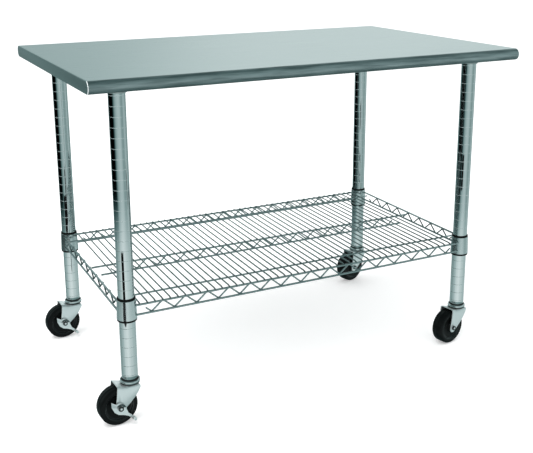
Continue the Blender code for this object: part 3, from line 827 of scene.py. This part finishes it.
def axle_bolt(seat):
    """Hex bolt along +Z, its head on the seat: washer face, a head with painted shade round its bright
    middle, shank.
    """
    bm = bmesh.new()
    hex_head(bm, BOLT_ACROSS, seat + 0.0004, seat + BOLT_HEAD, Matrix(), 0.0007)
    # The head outside its middle takes the black of painted shade.
    for face in bm.faces:
        spot = face.calc_center_median()
        face.material_index = 1 if math.hypot(spot.x, spot.y) > BOLT_ACROSS * 0.24 else 0
    end = -FORK_INNER - FORK_GAUGE - BOLT_REACH
    profile = [
        (0.0, end), (AXLE_RADIUS - 0.0010, end), (AXLE_RADIUS, end + 0.0010),
        (AXLE_RADIUS, seat), (WASHER_RADIUS, seat), (WASHER_RADIUS, seat + 0.0006),
        (0.0, seat + 0.0006),
    ]
    revolve(bm, profile, 32)
    return settled(solid(bm, "axle_bolt", [ZINC, SEAL_BLACK_AND_SHADE]), 35)


def axle_nut():
    """Hex nut with a nylon-locked collar on its outer end."""
    bm = bmesh.new()
    seat = -FORK_INNER - FORK_GAUGE - GAP
    bore = AXLE_RADIUS + GAP
    collar = BOLT_ACROSS * 0.44
    profile = [
        (bore, seat), (WASHER_RADIUS, seat), (WASHER_RADIUS, seat - 0.0005),
        (collar, seat - 0.0052), (collar, seat - 0.0070),
        (BOLT_ACROSS * 0.40, seat - 0.0075), (bore, seat - 0.0075),
    ]
    revolve(bm, profile, 32)
    hex_head(bm, BOLT_ACROSS, seat - 0.0004, seat - NUT_HEIGHT, Matrix())
    return settled(solid(bm, "axle_nut", [ZINC]), 35)


def bearing_ring():
    """Pressed bearing ring with a dark seal in the groove above it and in the one below, whose black is
    also painted shade in the grooves.
    """
    low = FORK_CROWN_Z + GAP
    high = low + RING_HEIGHT
    profile = [
        (KINGPIN_HOLE, low), (RING_RADIUS - 0.0010, low), (RING_RADIUS - 0.0014, low + 0.0032),
        (RING_RADIUS - 0.0004, low + 0.0034), (RING_RADIUS, low + 0.0042),
        (RING_RADIUS - 0.0002, high - 0.0028), (RING_RADIUS - 0.0010, high - 0.0018),
        (RING_RADIUS - 0.0024, high - 0.0014), (RING_RADIUS - 0.0032, high), (KINGPIN_HOLE, high),
    ]
    # 1 is the black of the seals, and also the painted shade in the grooves.
    finishes = [1, 1, 0, 0, 0, 0, 0, 1, 1, 1]
    bm = bmesh.new()
    revolve(bm, profile, 56, finishes=finishes)
    return settled(solid(bm, "bearing_ring", [CHROME, SEAL_BLACK_AND_SHADE]), 35)


def eased(value, start, end):
    """0 at start, 1 at end, smooth at both."""
    share = min(1.0, max(0.0, (value - start) / (end - start)))
    return share * share * (3 - 2 * share)


def above_bolt(u, v):
    """1 on the lever's arched upper part, 0 from the bolt's middle down, across a sloping line."""
    return eased(v - 0.30 * u, 0.0015, 0.0050)


def lever_relief(u, v):
    """How far the lever stands off its flat seat: outside the hollow its upper rim is raised."""
    return LEVER_RELIEF * eased(math.hypot(u, v), *LEVER_HOLLOW_STEP) * above_bolt(u, v)


def brake_lever():
    """Stamped shield on the axle, dished along its arch, with a foot tab turned outwards."""
    outline = rounded(LEVER_OUTLINE, 0.003, 4)
    hole = AXLE_RADIUS + 0.0004
    rings = 18
    sections = []
    faces = [(k / rings, 0.0) for k in range(rings + 1)]
    faces += [(k / rings, LEVER_GAUGE) for k in reversed(range(rings + 1))]
    for share, lift in faces:
        section = []
        for u, v in outline:
            rim = Vector((u, v))
            start = rim.normalized() * hole
            spot = start.lerp(rim, share)
            if share == 1.0:
                spot *= 1 - 0.0002 / spot.length
            section.append((spot.x, OUTSIDE + lift + lever_relief(spot.x, spot.y), spot.y))
        sections.append(section)
    bm = bmesh.new()
    loft(bm, sections + [sections[0]], caps=False)
    bmesh.ops.remove_doubles(bm, verts=bm.verts[:], dist=1e-6)
    plate(bm, rounded(LEVER_TAB, 0.0016, 4), OUTSIDE, OUTSIDE + LEVER_TAB_REACH, "Y", edge=0.0005)
    # Faces in the hollow above the bolt take the dark zinc of painted shade.
    for face in bm.faces:
        spot = face.calc_center_median()
        in_painted_shade = LEVER_HOLLOW[0] < math.hypot(spot.x, spot.z) < LEVER_HOLLOW[1]
        face.material_index = 1 if in_painted_shade and above_bolt(spot.x, spot.z) > 0.4 else 0
    return settled(solid(bm, "brake_lever", [ZINC, LEVER_SHADE_ZINC]), 35)


def dropped(name, mesh, matrix):
    """A piece that shares its mesh data with its fellows, put in place by a matrix."""
    obj = bpy.data.objects.new(name, mesh)
    obj.matrix_world = matrix
    bpy.context.scene.collection.objects.link(obj)
    return obj


def build_casters():
    shapes = {
        "fork": fork(), "wheel": wheel(), "nut": axle_nut(), "ring": bearing_ring(),
        "lever": brake_lever(), "plain": axle_bolt(OUTSIDE),
        "braked": axle_bolt(OUTSIDE + LEVER_GAUGE + GAP),
    }
    for corner, side in CORNERS.items():
        spot = POSTS[corner]
        upright = Matrix.Translation((spot.x, spot.y, 0))
        swivel = upright @ Matrix.Rotation(math.radians(CASTER_HEADINGS[corner]), 4, "Z")
        axle = swivel @ Matrix.Translation((CASTER_TRAIL, 0, WHEEL_RADIUS))
        across = axle @ Matrix.Rotation(-math.pi / 2, 4, "X")
        bolt = "braked" if corner in BRAKED else "plain"
        caster, wheel_body = "caster_" + side, "wheel_" + side
        parts = [
            ("swivel_ring_", "ring", upright, "frame", "zinc", "bearing_ring_"),
            ("caster_fork_", "fork", swivel, caster, "zinc", "fork_"),
            ("caster_bolt_", bolt, across, caster, "zinc", "axle_bolt_"),
            ("caster_nut_", "nut", across, caster, "zinc", "axle_nut_"),
            ("caster_wheel_", "wheel", across, wheel_body, "tread", "wheel_"),
        ]
        if corner in BRAKED:
            parts.append(("foot_lever_", "lever", axle, "brake_" + side, "zinc", "brake_lever_"))
        for name, shape, place, body, slot, replaced in parts:
            stand_for(dropped(name + corner, shapes[shape], place), body, slot, replaced + corner)


# ------------------------------------------------ CAD nodes that stay visible


def refinish():
    """Give the CAD nodes that keep their shape the same materials as their neighbours."""
    finishes = {
        "cross_channel_left": CHANNEL_STEEL, "cross_channel_right": CHANNEL_STEEL,
        "center_channel": CHANNEL_STEEL,
    }
    for corner in CORNERS:
        finishes["post_socket_" + corner] = CHANNEL_STEEL
        finishes["set_screw_" + corner] = SEAL_BLACK_AND_SHADE
        finishes["caster_stem_" + corner] = ZINC
    for name, finish in finishes.items():
        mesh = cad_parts[name].data
        mesh.materials.clear()
        mesh.materials.append(finish)


# -------------------------------------------------------------------- studio
# Reflections come from a studio painted on the world, each level of it as (compass bearing,
# brightness) with 0 at +Y and 90 at +X: a ceiling, a lit wall at eye level, black flags on the
# left at waist level, and a floor that is brightest in front of the table.

FLOOR_GLOW = [
    (0, 0.42), (60, 0.50), (110, 0.58), (155, 0.72), (205, 0.90), (240, 0.80), (270, 0.56), (315, 0.36),
]
WAIST_LEVEL = [
    (0, 0.30), (60, 0.30), (92, 0.52), (112, 0.52), (130, 0.36), (148, 0.38), (172, 0.58), (190, 0.60),
    (208, 0.54), (226, 0.42), (240, 0.27), (250, 0.08), (262, 0.0), (322, 0.0), (340, 0.15),
]
EYE_LEVEL = [
    (0, 0.36), (13, 0.56), (26, 0.86), (38, 0.88), (50, 0.72), (72, 0.50), (105, 0.42), (132, 0.38),
    (150, 0.34), (165, 0.38), (195, 0.46), (225, 0.50), (258, 0.46), (285, 0.50), (315, 0.58),
    (340, 0.44),
]
OVERHEAD = [(0, 0.16), (60, 0.14), (120, 0.12), (180, 0.16), (250, 0.08), (310, 0.06)]
EYE_TO_WAIST = (2, -4)          # the elevations between which one level fades into the next
WAIST_TO_FLOOR = (-16, -21)
EYE_TO_OVERHEAD = (36, 52)
NEAR_FLOOR = (-30, -40)         # below this the floor is close to the table, and darker
FLOOR_SHADE = 0.60              # by this share
RED_POWER = 1.26                # the studio's greenish cast: red is held back, more so in the dark
RED_SHARE = 0.93


def bearing_ramp(tree, bearing, stops):
    """Brightness as a smooth function of the compass bearing, closed at due north."""
    made = node(tree, "ValToRGB", {"Fac": bearing})
    ramp = made.color_ramp
    ramp.interpolation = "EASE"
    marks = [*stops, (360, stops[0][1])]
    while len(ramp.elements) < len(marks):
        ramp.elements.new(0.5)
    for element, (degrees, _) in zip(ramp.elements, marks):
        element.position = degrees / 360
    for element, (_, value) in zip(ramp.elements, marks):
        element.color = (value, value, value, 1)
    return made.outputs["Color"]


def maths(tree, operation, *values):
    made = node(tree, "Math", operation=operation)
    for socket, value in zip(made.inputs, values):
        if isinstance(value, bpy.types.NodeSocket):
            tree.links.new(value, socket)
        else:
            socket.default_value = value
    return made.outputs[0]


def fade(tree, value, start, end):
    """0 before start, 1 past end, eased between them."""
    return node(
        tree, "MapRange", {"Value": value, "From Min": start, "From Max": end},
        interpolation_type="SMOOTHSTEP",
    ).outputs["Result"]


def build_world():
    world = bpy.data.worlds.new("studio")
    bpy.context.scene.world = world
    world.use_nodes = True
    tree = world.node_tree
    direction = node(tree, "SeparateXYZ", {0: node(tree, "TexCoord").outputs["Generated"]}).outputs
    turn = maths(tree, "DIVIDE", maths(tree, "ARCTAN2", direction[0], direction[1]), 2 * math.pi)
    bearing = maths(tree, "WRAP", turn, 1.0, 0.0)
    elevation = maths(tree, "MULTIPLY", maths(tree, "ARCSINE", direction[2]), 180 / math.pi)
    room = bearing_ramp(tree, bearing, EYE_LEVEL)
    for limits, level in (
        (EYE_TO_WAIST, WAIST_LEVEL), (WAIST_TO_FLOOR, FLOOR_GLOW), (EYE_TO_OVERHEAD, OVERHEAD),
    ):
        room = mixed(tree, fade(tree, elevation, *limits), room, bearing_ramp(tree, bearing, level))
    shade = maths(tree, "MULTIPLY", fade(tree, elevation, *NEAR_FLOOR), FLOOR_SHADE)
    room = mixed(tree, shade, room, (0.0, 0.0, 0.0, 1))
    parts = node(tree, "SeparateColor", {0: room}).outputs
    red = maths(tree, "MULTIPLY", maths(tree, "POWER", parts[0], RED_POWER), RED_SHARE)
    tinted = node(tree, "CombineColor", {0: red, 1: parts[1], 2: parts[2]}).outputs[0]
    path = node(tree, "LightPath").outputs
    seen = mixed(tree, path["Is Glossy Ray"], (1, 1, 1, 1), tinted)
    background = tree.nodes["Background"]
    tree.links.new(seen, background.inputs["Color"])


def build_stage():
    """A pale floor and one broad soft lamp from the upper left."""
    bm = bmesh.new()
    bmesh.ops.create_circle(bm, cap_ends=True, segments=96, radius=40.0)
    mesh = bpy.data.meshes.new("floor")
    bm.to_mesh(mesh)
    bm.free()
    floor = bpy.data.objects.new("floor", mesh)
    floor.location.z = cad_low.z - 0.0004
    floor.visible_glossy = False
    paint = bpy.data.materials.new("pale_floor")
    paint.use_nodes = True
    tree = paint.node_tree
    shader = tree.nodes["Principled BSDF"]
    shader.inputs["Roughness"].default_value = 0.9
    shader.inputs["Specular IOR Level"].default_value = 0.1
    shader.inputs["Emission Color"].default_value = (1.0, 1.0, 1.0, 1.0)
    shader.inputs["Emission Strength"].default_value = 0.30
    blotches = mixed(tree, noise(tree, 0.8), (0.93, 0.94, 0.94, 1), (0.95, 0.96, 0.96, 1))
    tree.links.new(blotches, shader.inputs["Base Color"])
    mesh.materials.append(paint)
    bpy.context.scene.collection.objects.link(floor)

    lamp_data = bpy.data.lights.new("softbox", "AREA")
    lamp_data.shape = "DISK"
    lamp_data.size = 3.0
    lamp_data.energy = 90.0
    lamp = bpy.data.objects.new("softbox", lamp_data)
    lamp.location = (-1.4, -0.6, 3.6)
    lamp.rotation_euler = (Vector((0, 0, 0.3)) - lamp.location).to_track_quat("-Z", "Y").to_euler()
    lamp.visible_glossy = False
    bpy.context.scene.collection.objects.link(lamp)


# Black cards that are only seen mirrored: each makes the dark strip down the middle of one post.
CARD_DISTANCE = 0.45            # from the post, at the compass bearing below
CARDS = {                       # bearing, half width, lower and upper edge
    "fl": (222, 0.13, 0.065, 0.300),
    "bl": (223, 0.15, 0.187, 0.327),
    "fr": (230, 0.11, 0.353, 0.478),
}


def build_cards():
    for corner, (bearing, half, low, high) in CARDS.items():
        bm = bmesh.new()
        edge = ((-half, low), (half, low), (half, high), (-half, high))
        bm.faces.new([bm.verts.new((x, 0, z)) for x, z in edge])
        mesh = bpy.data.meshes.new("black_card_" + corner)
        bm.to_mesh(mesh)
        bm.free()
        mesh.materials.append(PLASTIC)
        turn = math.radians(bearing)
        card = bpy.data.objects.new("black_card_" + corner, mesh)
        card.location = POSTS[corner].x, POSTS[corner].y, 0
        card.location += CARD_DISTANCE * Vector((math.sin(turn), math.cos(turn), 0))
        card.rotation_euler = (0, 0, -turn)
        card.visible_camera = False
        card.visible_diffuse = False
        card.visible_shadow = False
        bpy.context.scene.collection.objects.link(card)


CAMERA_PLACE = (-1.1027, -2.2400, 1.1927)
CAMERA_YAW = 26.55              # to the right of +Y
CAMERA_PITCH = 14.40            # downwards
CAMERA_ROLL = 0.24
CAMERA_LENS = 59.11             # on a 36 mm wide sensor
CAMERA_SHIFT = -0.12            # the photograph's lens looks lower than its axis


def build_camera():
    data = bpy.data.cameras.new("camera")
    data.sensor_width = 36.0
    data.lens = CAMERA_LENS
    data.shift_y = CAMERA_SHIFT
    camera = bpy.data.objects.new("camera", data)
    camera.location = CAMERA_PLACE
    camera.rotation_euler = (
        math.radians(90 - CAMERA_PITCH), math.radians(CAMERA_ROLL), math.radians(-CAMERA_YAW),
    )
    bpy.context.scene.collection.objects.link(camera)
    bpy.context.scene.camera = camera


worktop()
build_posts()
build_shelf()
build_casters()
refinish()
build_world()
build_stage()
build_cards()
build_camera()
bpy.context.scene.view_settings.view_transform = "Standard"
bpy.context.scene.view_settings.look = "None"
